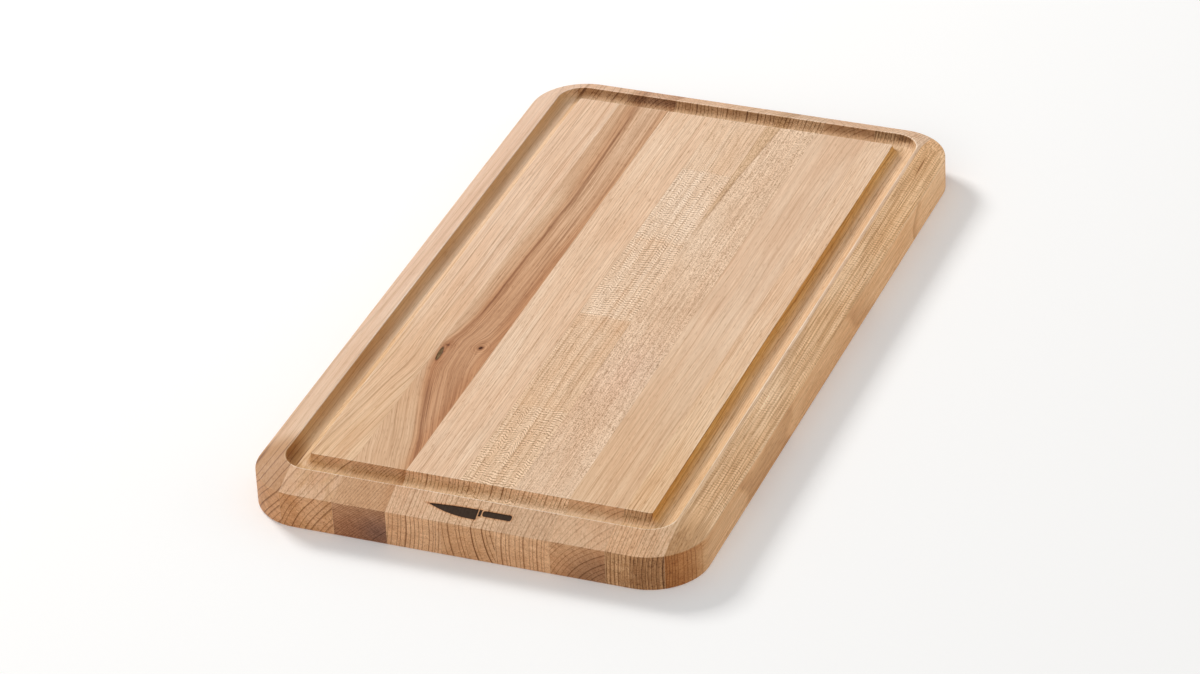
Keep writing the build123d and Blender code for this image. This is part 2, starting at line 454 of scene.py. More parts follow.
class Graph:
    def __init__(self, name):
        self.mat = bpy.data.materials.new(name)
        self.mat.use_nodes = True
        self.t = self.mat.node_tree
        self.t.nodes.clear()
        self.count = 0

    def node(self, kind, **props):
        n = self.t.nodes.new(kind)
        n.location = (200 * (self.count % 24), -260 * (self.count // 24))
        self.count += 1
        for k, v in props.items():
            setattr(n, k, v)
        return n

    def put(self, socket, v):
        if isinstance(v, Val):
            self.t.links.new(v.s, socket)
        else:
            socket.default_value = v

    def m(self, op, *args, clamp=False):
        n = self.node("ShaderNodeMath", operation=op, use_clamp=clamp)
        for i, a in enumerate(args):
            self.put(n.inputs[i], a)
        return Val(self, n.outputs[0])

    def vm(self, op, *args):
        n = self.node("ShaderNodeVectorMath", operation=op)
        for i, a in enumerate(args):
            if op == "SCALE" and i == 1:
                self.put(n.inputs["Scale"], a)
            else:
                self.put(n.inputs[i], a)
        return Val(self, n.outputs["Value"] if op in ("LENGTH", "DOT_PRODUCT", "DISTANCE") else n.outputs[0])

    def sep(self, v):
        n = self.node("ShaderNodeSeparateXYZ")
        self.put(n.inputs[0], v)
        return [Val(self, o) for o in n.outputs]

    def vec(self, x, y, z):
        n = self.node("ShaderNodeCombineXYZ")
        for i, a in enumerate((x, y, z)):
            self.put(n.inputs[i], a)
        return Val(self, n.outputs[0])

    def smooth(self, v, lo, hi, a=0.0, b=1.0):
        n = self.node("ShaderNodeMapRange", interpolation_type="SMOOTHSTEP")
        self.put(n.inputs[0], v)
        for i, x in enumerate((lo, hi, a, b)):
            self.put(n.inputs[i + 1], x)
        return Val(self, n.outputs[0])

    def ramp01(self, v, lo, hi, a=0.0, b=1.0):
        n = self.node("ShaderNodeMapRange", interpolation_type="LINEAR", clamp=True)
        self.put(n.inputs[0], v)
        for i, x in enumerate((lo, hi, a, b)):
            self.put(n.inputs[i + 1], x)
        return Val(self, n.outputs[0])

    def noise(self, p, scale=(1, 1, 1), seed=0.0, detail=2.0, rough=0.5, colour=False, distort=0.0):
        """Noise over p (mm) stretched by scale (cycles per mm along each axis)."""
        q = self.vm("MULTIPLY_ADD", p, tuple(scale), (seed * 1.37, seed * 2.11, seed * 0.73))
        n = self.node("ShaderNodeTexNoise", noise_dimensions="3D")
        self.put(n.inputs["Vector"], q)
        n.inputs["Scale"].default_value = 1.0
        n.inputs["Detail"].default_value = detail
        n.inputs["Roughness"].default_value = rough
        n.inputs["Distortion"].default_value = distort
        return Val(self, n.outputs[1 if colour else 0])

    def noise1(self, w, scale, seed=0.0, detail=1.0):
        q = self.m("MULTIPLY_ADD", w, scale, seed)
        n = self.node("ShaderNodeTexNoise", noise_dimensions="1D")
        self.put(n.inputs["W"], q)
        n.inputs["Scale"].default_value = 1.0
        n.inputs["Detail"].default_value = detail
        return Val(self, n.outputs[0])

    def white(self, w):
        n = self.node("ShaderNodeTexWhiteNoise", noise_dimensions="1D")
        self.put(n.inputs["W"], w)
        return Val(self, n.outputs[0])

    def bell(self, v, width):
        """1 at v = 0, falling smoothly away over width."""
        q = v / width
        return self.m("EXPONENT", -(q * q))

    def curve(self, v, lo, hi, pts, out_lo, out_hi):
        """A smooth line through pts (input, output)."""
        n = self.node("ShaderNodeFloatCurve")
        self.put(n.inputs["Value"], self.ramp01(v, lo, hi))
        c = n.mapping.curves[0]
        norm = [((a - lo) / (hi - lo), (b - out_lo) / (out_hi - out_lo)) for a, b in pts]
        c.points[0].location = norm[0]
        c.points[1].location = norm[-1]
        for p in norm[1:-1]:
            c.points.new(*p)
        n.mapping.update()
        return Val(self, n.outputs[0]) * (out_hi - out_lo) + out_lo

    def mix(self, f, a, b):
        n = self.node("ShaderNodeMix", data_type="RGBA")
        self.put(n.inputs[0], f)
        for s, v in ((n.inputs[6], a), (n.inputs[7], b)):
            if isinstance(v, Val):
                self.put(s, v)
            else:
                s.default_value = (*v, 1.0)
        return Val(self, n.outputs[2])

    def gamma(self, colour, g):
        n = self.node("ShaderNodeGamma")
        self.put(n.inputs[0], colour)
        self.put(n.inputs[1], g)
        return Val(self, n.outputs[0])


# ------------------------------------------------------------------------------
# Maple: growth rings round a pith line, fibres and pores along the stave, rays,
# tint drift, and end grain that drinks more oil and so turns darker
# ------------------------------------------------------------------------------
def maple(name, seed, light, tint, pith, ring, tilt=(0.0, 0.0), warp=3.0, ring_dark=0.50, fibre=1.0,
          streak=0.34, lines=0.34, pore=0.34, end=0.60, fleck=0.0, curl=0.0, mark=False, extra=None, path=None,
          end_tint=(0.66, 0.40, 0.22), end_ring=2.2, end_from=0.12, end_full=0.80, warm=0.0, path_free=False):
    """Planed hard maple. broad = slow changes of tone, fine = thin marks, which are browner than they are red."""
    g = Graph(name)
    tc = g.node("ShaderNodeTexCoord")
    P = g.vm("SCALE", Val(g, tc.outputs["Object"]), 1000.0)
    X, Y, Z = g.sep(P)
    geo = g.node("ShaderNodeNewGeometry")
    nx, ny, nz = g.sep(Val(g, geo.outputs["Normal"]))
    endness = g.m("ABSOLUTE", ny)

    # where on the machined edge: distance in from the outline, in plan
    ax = g.m("MAXIMUM", g.m("ABSOLUTE", X) - CX, 0.0)
    ay = g.m("MAXIMUM", g.m("ABSOLUTE", Y) - CY, 0.0)
    d_in = CORNER - g.m("SQRT", ax * ax + ay * ay)
    high = g.smooth(Z, 20.0, 24.0)
    in_groove = g.m("MAXIMUM", g.smooth(d_in, 20.9, 21.3), g.smooth(d_in, 19.2, 19.5) * g.smooth(nz, 0.88, 0.72))
    in_groove = in_groove * g.smooth(d_in, 36.2, 35.9) * high
    # painted highlight, with a little wear: pale lines along the rim crest, the inner lip and the edge above the
    # upright side, where these rounded edges catch the light
    crest = g.smooth(nz, 0.935, 0.975) * g.smooth(d_in, 18.4, 18.9) * g.smooth(d_in, 21.6, 21.2)
    wear_and_painted_highlight = (crest * 1.4 + g.bell(d_in - 36.2, 0.35) * 0.8) * high
    wear_and_painted_highlight = wear_and_painted_highlight + g.bell(Z - EDGE_H, 0.45) * g.smooth(d_in, 1.2, 0.4) * 0.35

    # growth rings
    Q = P
    if path is not None:
        Q = g.vm("SUBTRACT", P, g.vec(path(g, X, Y, Z), 0.0, 0.0))
    QX, QY, QZ = g.sep(Q)
    wn = g.noise(P, (0.011, 0.0042, 0.011), seed, 2.0, 0.5, colour=True)
    wc = g.vm("SCALE", g.vm("SUBTRACT", wn, (0.5, 0.5, 0.5)), warp * 4.0)
    wx, wy, wz = g.sep(wc)
    px = QX + wx - (Y * tilt[0] + pith[0])
    pz = Z + wz * 0.6 - (Y * tilt[1] + pith[1])
    rho = g.m("SQRT", px * px + pz * pz)
    phase = rho / ring + g.noise1(rho, 0.16, seed * 3.1, 1.0) * 1.5
    fr = g.m("FRACT", phase)
    idr = g.white(g.m("FLOOR", phase))
    late = g.smooth(fr, 0.62, 0.94) * g.smooth(fr, 0.94, 1.0, 1.0, 0.0)
    late = g.m("POWER", late, 2.0) * (idr * 0.6 + 0.68)
    g.late = late

    # fibres, thin grain lines, broad streaks, pores
    f1 = g.noise(Q, (1.25, 0.028, 1.25), seed + 3.3, 2.5, 0.65)
    ln = g.noise(Q, (0.95, 0.0075, 0.95), seed + 5.5, 2.0, 0.55)
    line = g.smooth(ln, 0.57, 0.67)
    f2 = g.noise(Q, (0.24, 0.0060, 0.24), seed + 7.1, 2.0, 0.55)
    pn = g.noise(Q, (1.7, 0.13, 1.7), seed + 12.7, 1.0, 0.5)
    pores = g.smooth(pn, 0.58, 0.74)
    blotch = g.noise(P, (0.022, 0.0085, 0.03), seed + 19.0, 2.0, 0.5)
    soak = g.smooth(endness, end_from, end_full)

    fine = late * ring_dark * (soak * (end_ring - 1.0) + 1.0)
    fine = fine + (f1 - 0.5) * fibre + line * lines * (soak * 1.2 + 1.0) + pores * pore - (lines * 0.2 + pore * 0.12 + ring_dark * 0.08)
    broad = (f2 - 0.5) * streak + (blotch - 0.5) * 0.35 + (fr - 0.5) * (ring_dark * 0.16)
    rough = (f1 - 0.5) * 0.18 + pores * 0.12 + 0.54
    height = (f1 - 0.5) * 0.8 - pores * 0.9 - late * 0.4

    flat = g.smooth(d_in, 17.5, 21.5, 0.35, 1.0)
    if fleck:
        tk = g.noise(P, (1.45, 1.15, 1.45), seed + 23.0, 1.0, 0.6)
        patch = g.smooth(g.noise(P, (0.03, 0.012, 0.03), seed + 29.0, 1.0), 0.36, 0.60)
        amt = (g.smooth(tk, 0.47, 0.65) - 0.30) * (patch * 0.5 + 0.6) * flat
        fine = fine + amt * fleck
        height = height - amt * 0.9
    if curl:
        amp, period, mask = curl
        jn = g.noise(P, (0.20, 0.02, 0.10), seed + 31.0, 2.0, 0.5)
        cw = g.m("SINE", (Y + (jn - 0.5) * 11.0) * (2 * math.pi / period))
        bn = g.noise(P, (0.34, 0.30, 0.3), seed + 37.0, 1.0)
        cw = (g.smooth(cw, 0.15, 0.90) - 0.20) * g.smooth(bn, 0.40, 0.56)
        if not path_free:
            cw = cw * flat
        if mask is not None:
            cw = cw * mask(g, X, Y, Z)
        fine = fine + cw * amp * (1.0 - soak)
        height = height - cw * 0.5
    # rays on end grain: fine radial lines
    ang = g.m("ARCTAN2", pz, px)
    ray = g.noise(g.vec(ang * 40.0, rho * 0.12, Y * 0.05), (1, 1, 1), seed + 41.0, 2.0, 0.6)
    fine = fine + (ray - 0.5) * soak * 0.9 + soak * 0.10

    base = g.mix(g.smooth(f2 * 0.5 + blotch * 0.5, 0.36, 0.64), light, tint)
    if warm:
        base = g.mix(g.smooth(Y, 60.0, -235.0) * g.smooth(endness, 0.10, 0.35, 1.0, 0.25) * warm, base,
                     g.vm("MULTIPLY", base, (0.95, 0.91, 0.80)))
    base = g.mix(soak * 0.35, base, end_tint)
    if extra is not None:
        base, broad, fine, rough, height = extra(g, X, Y, Z, P, Q, base, broad, fine, rough, height, soak, f1, f2)
    deep = g.smooth(soak, 0.75, 1.0)
    base = g.mix(deep, base, g.vm("MULTIPLY", base, (0.98, 0.995, 1.00)))
    fine = fine + g.bell(soak - 0.35, 0.12) * 0.05
    # end grain darker, less so in the groove; the painted highlight on the rounded edges lighter
    broad = broad + soak * end * (1.0 - in_groove * 0.65) - wear_and_painted_highlight * 0.25
    # painted shade in the groove: walls facing right and the back groove's outer wall painted darker and yellower,
    # walls facing left and walls facing the front painted lighter, the floor's painted tone shifting from left to right
    # and from front to back
    right_half = g.smooth(X, -20.0, 20.0)
    groove_floor_painted_shade = g.mix(g.smooth(Y, -60.0, -180.0), (0.98, 0.985, 0.915), (0.95, 0.90, 0.76))
    groove_floor_painted_shade = g.mix(right_half, groove_floor_painted_shade, g.mix(g.smooth(Y, -60.0, -180.0), (0.99, 0.955, 0.855), (1.03, 1.02, 0.95)))
    groove_wall_painted_shade = g.mix(g.smooth(Y, -190.0, 190.0), (0.76, 0.60, 0.35), (0.84, 0.74, 0.49))
    groove_wall_painted_shade = g.mix(right_half, groove_wall_painted_shade, (0.77, 0.58, 0.230))
    # walls facing right take the darker painted shade, walls facing left a lighter painted tone
    groove_painted_shade = g.mix(g.smooth(nx, 0.0, 0.95), groove_floor_painted_shade, groove_wall_painted_shade)
    groove_painted_shade = g.mix(g.smooth(nx, -0.2, -0.9), groove_painted_shade, (0.90, 0.88, 0.79))
    # walls facing the front painted lighter, the back groove's outer wall painted darker
    groove_painted_shade = g.mix(g.smooth(ny, -0.60, -1.0), groove_painted_shade, (1.08, 1.05, 1.00))
    groove_painted_shade = g.mix(g.smooth(ny, -0.10, -0.95) * g.smooth(Y, 200.0, 230.0), groove_painted_shade, (0.72, 0.66, 0.56))
    # the groove takes its painted shade
    base = g.mix(in_groove, base, g.vm("MULTIPLY", base, groove_painted_shade))
    colour = g.gamma(base, g.m("MAXIMUM", broad + fine * 0.42 + 1.0, 0.2))
    colour = g.vm("SCALE", colour, g.m("EXPONENT", fine * -0.55))

    if mark:
        colour, rough, height = burned_mark(g, X, Y, Z, P, colour, rough, height, f1, seed)

    bump = g.node("ShaderNodeBump")
    bump.inputs["Strength"].default_value = 0.35
    bump.inputs["Distance"].default_value = 0.00012
    g.put(bump.inputs["Height"], height)
    bs = g.node("ShaderNodeBsdfPrincipled")
    g.put(bs.inputs["Base Color"], colour)
    g.put(bs.inputs["Roughness"], g.m("MINIMUM", g.m("MAXIMUM", rough - wear_and_painted_highlight * 0.05, 0.25), 0.9))
    bs.inputs["Specular IOR Level"].default_value = 0.22
    g.t.links.new(bump.outputs[0], bs.inputs["Normal"])
    o = g.node("ShaderNodeOutputMaterial")
    g.t.links.new(bs.outputs[0], o.inputs[0])
    return g.mat


def burned_mark(g, X, Y, Z, P, colour, rough, height, f1, seed):
    """A plain chef's knife burned into the front bevel."""
    u = X
    # v = distance up the bevel from its outer edge
    v = (Y + HALF_L) * math.cos(SLOPE) + (Z - EDGE_H) * math.sin(SLOPE)
    wob = (g.noise(P, (0.9, 0.5, 0.9), 51.0, 2.0, 0.6) - 0.5) * 0.32

    def circle(cu, cv, r):
        a, b = u - cu, v - cv
        return g.m("SQRT", a * a + b * b) - r

    blade = g.m("MAXIMUM", g.m("MAXIMUM", circle(6.0, 84.2, 78.0), circle(9.0, -375.2, 389.0)), u - 8.8)

    def box(cu, cv, hu, hv, r):
        a = g.m("ABSOLUTE", u - cu) - (hu - r)
        b = g.m("ABSOLUTE", v - cv) - (hv - r)
        am, bm = g.m("MAXIMUM", a, 0.0), g.m("MAXIMUM", b, 0.0)
        return g.m("SQRT", am * am + bm * bm) + g.m("MINIMUM", g.m("MAXIMUM", a, b), 0.0) - r

    d = g.m("MINIMUM", blade, box(10.4, 11.4, 0.9, 2.4, 0.2))
    d = g.m("MINIMUM", d, box(21.6, 11.5, 9.6, 2.1, 1.5))
    front = g.m("LESS_THAN", Y, -HALF_L + 19.0) * g.m("GREATER_THAN", Z, EDGE_H - 0.2)
    core = g.smooth(d + wob, -0.10, 0.16, 1.0, 0.0) * front
    halo = g.smooth(d + wob, -0.1, 1.3, 1.0, 0.0) * front
    colour = g.gamma(colour, 1.0 + halo * 0.55)
    char = g.mix(f1, (0.010, 0.006, 0.004), (0.040, 0.022, 0.012))
    colour = g.mix(core * 0.97, colour, char)
    rough = rough + core * 0.25
    height = height - core * 0.6
    return colour, rough, height


def glue_material():
    g = Graph("wood_glue_cured")
    tc = g.node("ShaderNodeTexCoord")
    P = g.vm("SCALE", Val(g, tc.outputs["Object"]), 1000.0)
    X, Y, Z = g.sep(P)
    n1 = g.noise(P, (1.0, 0.10, 1.0), 3.0, 3.0, 0.6)
    n2 = g.noise(P, (0.05, 0.02, 0.05), 9.0, 2.0)
    col = g.mix(n2, (0.50, 0.30, 0.155), (0.60, 0.38, 0.215))
    col = g.gamma(col, 1.0 + (n1 - 0.5) * 0.5)
    col, rough, height = burned_mark(g, X, Y, Z, P, col, (n1 - 0.5) * 0.1 + 0.45, n1, n1, 3.0)
    bump = g.node("ShaderNodeBump")
    bump.inputs["Strength"].default_value = 0.2
    bump.inputs["Distance"].default_value = 0.00005
    g.put(bump.inputs["Height"], height)
    bs = g.node("ShaderNodeBsdfPrincipled")
    g.put(bs.inputs["Base Color"], col)
    g.put(bs.inputs["Roughness"], rough)
    g.t.links.new(bump.outputs[0], bs.inputs["Normal"])
    o = g.node("ShaderNodeOutputMaterial")
    g.t.links.new(bs.outputs[0], o.inputs[0])
    return g.mat


# ------------------------------------------------------------------------------
# What is special in each stave
# ------------------------------------------------------------------------------
HEART = [(0, -38), (30, -44), (51, -50), (71, -55), (94, -62.7), (118, -70), (141, -76), (158, -79.3),
         (183, -79.3), (198, -76), (234, -72.7), (274, -72), (328, -70.7), (381, -69.7), (441, -70.7), (504, -72.7), (541, -74)]


def heart_line(g, Y):
    return g.curve(Y, -HALF_L, HALF_L, [(a - HALF_L, b) for a, b in HEART], -100.0, -30.0)


def heart_path(g, X, Y, Z):
    """How far the rings of the heartwood stave are carried sideways, knots included."""
    c = heart_line(g, Y)
    shift = (c + 71.0) * g.ramp01(Z, 0.0, THICK, 0.15, 1.0)
    for kx, ky, rx, ry in ((-58.3, -88.8, 5.0, 11.0), (-81.5, -99.0, 5.5, 15.0)):
        dx, dy = X - kx, Y - ky
        q = (dx / rx) * (dx / rx) + (dy / ry) * (dy / ry)
        shift = shift + dx * g.m("EXPONENT", -q) * g.smooth(Z, 8.0, 28.0)
    return shift


def heart_extra(g, X, Y, Z, P, Q, base, broad, fine, rough, height, soak, f1, f2):
    c = heart_line(g, Y)
    wig = (g.noise(P, (0.07, 0.03, 0.05), 61.0, 3.0) - 0.5) * 3.0
    s = X - c + wig + (THICK - Z) * 0.35
    topness = g.smooth(Z, 12.0, 30.0)
    # dark streak, fading where it passes the bark pocket, with a soft shoulder on its left
    broken = g.noise(Q, (0.5, 0.022, 0.3), 63.0, 2.0)
    strength = g.smooth(g.m("ABSOLUTE", Y + 118.0), 10.0, 34.0, 0.25, 1.0)
    dark = g.bell(s, 0.9) * (broken * 1.1 + 0.25) + g.bell(s - 2.4, 0.6) * g.smooth(broken, 0.42, 0.62) * 0.7
    dark = dark + g.bell(s + 4.5, 0.6) * g.smooth(broken, 0.58, 0.46) * 0.5
    fine = fine + dark * topness * strength * 0.66
    broad = broad + (g.bell(s + 0.8, 3.4) * 0.14 + g.bell(s + 5.0, 5.0) * g.smooth(Y, -80.0, -20.0) * 0.16) * topness + g.smooth(X, -57.0, -50.0) * topness * 0.10
    # close lines fill the brown heart
    close = g.smooth(g.noise(Q, (1.15, 0.012, 0.8), 65.0, 1.0), 0.46, 0.62)
    # pale margin on the left, brown heart on the right
    heart = g.smooth(s + (f2 - 0.5) * 5.0, -6.0, 0.5)
    low = g.smooth(Z, 30.0, 6.0, 0.0, 1.0) * g.smooth(X, -88.0, -76.0, 0.55, 1.0)
    heart = g.m("MAXIMUM", heart, low)
    fine = fine + (close - 0.3) * (heart * 0.24 + 0.04)
    base = g.mix(heart, base, (0.600, 0.345, 0.195))
    front = g.smooth(Y, 150.0, -100.0)
    broad = broad + front * heart * 0.19 + g.smooth(X, -60.0, -51.5) * g.smooth(Y, 230.0, -90.0, 0.5, 1.0) * 0.14 * g.smooth(Y, -250.0, -190.0, 0.3, 1.0)
    broad = broad - g.smooth(Y, 60.0, 200.0) * heart * (1.0 - soak) * 0.10
    left = g.smooth(Y, -110.0, -170.0) * (1.0 - heart)
    base = g.mix(left * 0.7, base, (0.665, 0.410, 0.235))
    # end grain is a deep brown, greyest by the pith
    core = g.bell(g.vm("LENGTH", g.vec((X + 55.0) * 1.0, 0.0, (Z - 8.0) * 1.15)), 13.0)
    deep = g.smooth(soak, 0.75, 1.0) * g.m("MAXIMUM", g.smooth(Z, 26.5, 24.5, 0.3, 1.0), g.smooth(Y, 200.0, 230.0))
    broad = broad + deep * 0.06
    fine = fine + deep * (0.10 + core * 0.34)
    base = g.mix(deep * (core * 0.50 + 0.25), base, (0.475, 0.322, 0.262))
    # knots
    for kx, ky, rx, ry, amt in ((-58.3, -88.8, 1.5, 2.0, 1.8), (-80.2, -91.5, 1.8, 1.2, 0.8)):
        dx, dy = X - kx, Y - ky
        q = g.m("SQRT", (dx / rx) * (dx / rx) + (dy / ry) * (dy / ry))
        eye = g.smooth(q + (f1 - 0.5) * 1.2, 1.5, 0.3) * g.smooth(Z, 28.0, 31.0)
        halo = g.bell(q, 3.4) * g.smooth(Z, 24.0, 31.0)
        swirl = g.m("SINE", q * 5.0) * g.smooth(q, 6.5, 2.0) * g.smooth(Z, 28.0, 31.0)
        fine = fine + eye * amt + halo * 0.12 + swirl * 0.13
        broad = broad + halo * 0.14
        rough = rough + eye * 0.1
        height = height - eye * 0.8
    # bark pocket: an almond of grey-brown bark with a darker rim
    dx = X + 81.2 - (Y + 102.5) * -0.10
    dy = Y + 102.5
    q = g.m("SQRT", (dx / 1.35) * (dx / 1.35) + (dy / 7.6) * (dy / 7.6)) + (f1 - 0.5) * 0.3
    shown = g.smooth(Z, 27.0, 31.0)
    slit = g.smooth(q, 1.15, 0.85) * shown
    rim = g.bell(q - 1.0, 0.22) * shown
    broad = broad + g.bell(q, 2.1) * shown * 0.20
    fine = fine + rim * 1.0
    base = g.mix(slit * 0.92, base, (0.37, 0.27, 0.155))
    rough = rough + slit * 0.3
    height = height - slit
    return base, broad, fine, rough, height


def streaked_path(g, X, Y, Z):
    """The grain of this stave swings to the left over its front quarter."""
    return g.smooth(Y, -262.0, -95.0, -13.0, 0.0) + g.bell(Y + 118.0, 26.0) * g.bell(X + 92.0, 9.0) * 3.0


def streaked_extra(g, X, Y, Z, P, Q, base, broad, fine, rough, height, soak, f1, f2):
    # honey-coloured flames, strongest in the front half, and a few thin mineral lines
    fl = g.noise(Q, (0.13, 0.009, 0.10), 71.0, 3.0, 0.55, distort=0.3)
    flame = g.smooth(fl, 0.50, 0.68) * g.smooth(Y, 60.0, -140.0, 0.15, 1.0)
    base = g.mix(flame * 0.50, base, (0.70, 0.445, 0.245))
    broad = broad + flame * 0.06 * (1.0 - soak)
    fine = fine + g.smooth(X, -97.0, -87.0) * g.smooth(Y, -60.0, -180.0) * 0.06
    mn = g.noise(Q, (0.9, 0.006, 0.5), 73.0, 1.0)
    fine = fine + g.smooth(mn, 0.62, 0.74) * 0.36
    # orange patch in the end grain, at the left
    pt = g.smooth(X, -103.0, -112.0) * g.smooth(soak, 0.7, 1.0)
    base = g.mix(pt * 0.5, base, (0.62, 0.35, 0.17))
    return base, broad, fine, rough, height


def edge_extra(g, X, Y, Z, P, Q, base, broad, fine, rough, height, soak, f1, f2):
    # browner wood takes over in the front corner
    fr = g.smooth(Y + (f2 - 0.5) * 24.0, -206.0, -234.0) * (1.0 - soak * 0.7)
    base = g.mix(fr * 0.95, base, (0.53, 0.286, 0.126))
    broad = broad + fr * 0.10
    fine = fine + fr * (g.late * 0.65 + 0.12) - soak * 0.42 + g.smooth(X, -128.5, -131.0) * 0.05
    return base, broad, fine, rough, height


def figured_patches(g, X, Y, Z):
    """Curly figure comes in patches along the stave."""
    n = g.noise(g.vec(X, Y, Z), (0.035, 0.0, 0.02), 81.0, 1.0)
    yy = Y + (n - 0.5) * 10.0
    m = g.smooth(yy, 168.0, 160.0) * g.smooth(yy, -28.0, -36.0, 1.0, 0.30)
    back = g.smooth(yy, -138.0, -146.0, 0.0, 1.0)
    return g.m("MAXIMUM", m, back) * 0.85 + 0.15


def figured_extra(g, X, Y, Z, P, Q, base, broad, fine, rough, height, soak, f1, f2):
    n = g.noise(P, (0.05, 0.0, 0.03), 83.0, 1.0)
    yy = Y + (n - 0.5) * 7.0
    # chatoyance: neighbouring patches catch the light differently
    for y0, w, amt in ((163.0, 1.6, -0.12), (69.0, 1.2, 0.07), (-30.0, 1.2, 0.15), (-144.0, 1.2, -0.08)):
        broad = broad + g.smooth(yy, y0 + w, y0 - w) * amt * (1.0 - soak)
    broad = broad + g.bell(yy - 69.0, 4.0) * 0.08 + g.bell(yy + 40.0, 9.0) * 0.08
    # tan streak that runs out of the stave near the back
    cx = g.curve(Y, -HALF_L, HALF_L, [(-270.5, 24.0), (60.0, 24.0), (110.0, 24.5), (160.0, 26.5), (200.0, 29.0), (240.0, 32.0), (270.5, 34.0)], 0.0, 50.0)
    s = X - cx
    broad = broad + g.smooth(s, -6.0, -0.5) * g.smooth(s, 1.2, 0.2) * g.smooth(Y, 60.0, 150.0) * 0.14
    fine = fine + g.smooth(soak, 0.75, 1.0) * 0.07
    return base, broad, fine, rough, height


def flecked_extra(g, X, Y, Z, P, Q, base, broad, fine, rough, height, soak, f1, f2):
    cx = g.curve(Y, -HALF_L, HALF_L, [(-270.5, 22.0), (60.0, 22.5), (110.0, 24.6), (160.0, 27.0), (200.0, 30.0), (240.0, 33.0), (270.5, 35.0)], 0.0, 50.0)
    s = X - cx + (f2 - 0.5) * 2.0
    tan = g.smooth(s, 1.4, -0.4) * g.smooth(Y, 60.0, 130.0)
    line = g.bell(s - 0.6, 0.6) * g.smooth(Y, 60.0, 120.0)
    broad = broad + tan * 0.10
    fine = fine + line * 0.45 + tan * 0.08 - g.smooth(soak, 0.75, 1.0) * 0.14 + g.bell(soak - 0.35, 0.12) * 0.07
    base = g.mix(tan * 0.5, base, (0.66, 0.43, 0.24))
    # a pink cast part way along
    pink = g.bell(Y + 90.0, 36.0) * g.bell(X - 43.0, 16.0)
    base = g.mix(pink * 0.30, base, (0.70, 0.44, 0.32))
    return base, broad, fine, rough, height


def tan_extra(g, X, Y, Z, P, Q, base, broad, fine, rough, height, soak, f1, f2):
    # end grain darkens to a brown heart at the lower right
    r = g.vm("LENGTH", g.vec((X - 93.0) * 0.75, 0.0, Z - 4.0))
    core = g.smooth(r, 26.0, 6.0)
    deep = g.smooth(soak, 0.75, 1.0)
    fine = fine + core * deep * 0.24 + deep * 0.12
    broad = broad + core * deep * 0.10
    base = g.mix(core * deep * 0.5, base, (0.50, 0.32, 0.21))
    return base, broad, fine, rough, height


def straight_extra(g, X, Y, Z, P, Q, base, broad, fine, rough, height, soak, f1, f2):
    deep = g.smooth(soak, 0.75, 1.0)
    pt = g.smooth(X + (f2 - 0.5) * 10.0, 107.0, 118.0) * deep
    base = g.mix(deep, base, g.vm("MULTIPLY", base, (0.94, 0.985, 1.0)))
    base = g.mix(pt * 0.45, base, (0.55, 0.335, 0.18))
    broad = broad + pt * 0.10 + deep * 0.04
    fine = fine + pt * 0.20
    rowl = g.m("SINE", X * 2.3) * g.noise(P, (0.5, 0.5, 0.5), 91.0, 1.0)
    fine = fine + rowl * deep * 0.45 + deep * 0.24
    return base, broad, fine, rough, height


def curl_everywhere(g, X, Y, Z):
    n = g.noise(g.vec(X, Y, Z), (0.02, 0.010, 0.02), 95.0, 2.0)
    return g.smooth(n, 0.30, 0.55) * g.smooth(Z, 23.0, 25.0, 0.25, 1.0) * g.smooth(Y, -236.0, -205.0)


def right_extra(g, X, Y, Z, P, Q, base, broad, fine, rough, height, soak, f1, f2):
    # small dark check in the bevel near the back corner
    dx = X - (139.0 + (Y - 218.0) * -0.02)
    q = g.m("SQRT", (dx / 0.5) * (dx / 0.5) + ((Y - 218.0) / 14.0) * ((Y - 218.0) / 14.0))
    slit = g.smooth(q + (f1 - 0.5) * 0.6, 1.2, 0.4) * g.smooth(Z, 22.0, 25.0)
    fine = fine + slit * 1.3
    height = height - slit
    # the bevel shows close dark lines; the upright face is smoother, with painted shade
    bev = g.smooth(Z, EDGE_H - 0.6, EDGE_H + 0.4)
    cl = g.smooth(g.noise(Q, (1.1, 0.010, 0.8), 97.0, 1.0), 0.46, 0.62)
    fine = fine + (cl - 0.32) * bev * 0.42 * g.smooth(Y, -245.0, -215.0, 0.4, 1.0)
    fine = fine - bev * g.smooth(Y, -150.0, -60.0) * 0.09
    base = g.mix(bev * g.smooth(Y, 20.0, 170.0), base, g.vm("MULTIPLY", base, (1.0, 0.95, 0.87)))
    # painted shade on the upright face: darker and warmer than the bevel, darker towards the front and lighter towards
    # the back
    base = g.mix(1.0 - bev, base, g.vm("MULTIPLY", base, (0.94, 0.85, 0.72)))
    fine = fine + (g.smooth(Y, -60.0, -230.0) * 0.12 - g.smooth(Y, -60.0, 200.0) * 0.14) * (1.0 - bev)
    # the front corner is browner
    fine = fine + g.smooth(Y, -215.0, -258.0) * g.smooth(Z, 26.0, 22.0, 1.26, 0.95) * 0.42
    return base, broad, fine, rough, height


STAVES = [
    # node, slot, left, right
    ("stave_1_left_edge", "maple_left_edge"),
    ("stave_2_streaked", "maple_streaked"),
    ("stave_3_heartwood", "maple_heartwood"),
    ("stave_4_pale", "maple_pale"),
    ("stave_5_figured", "maple_figured"),
    ("stave_6_flecked", "maple_flecked"),
    ("stave_7_tan", "maple_tan"),
    ("stave_8_straight", "maple_straight"),
    ("stave_9_right_edge", "maple_right_edge"),
]

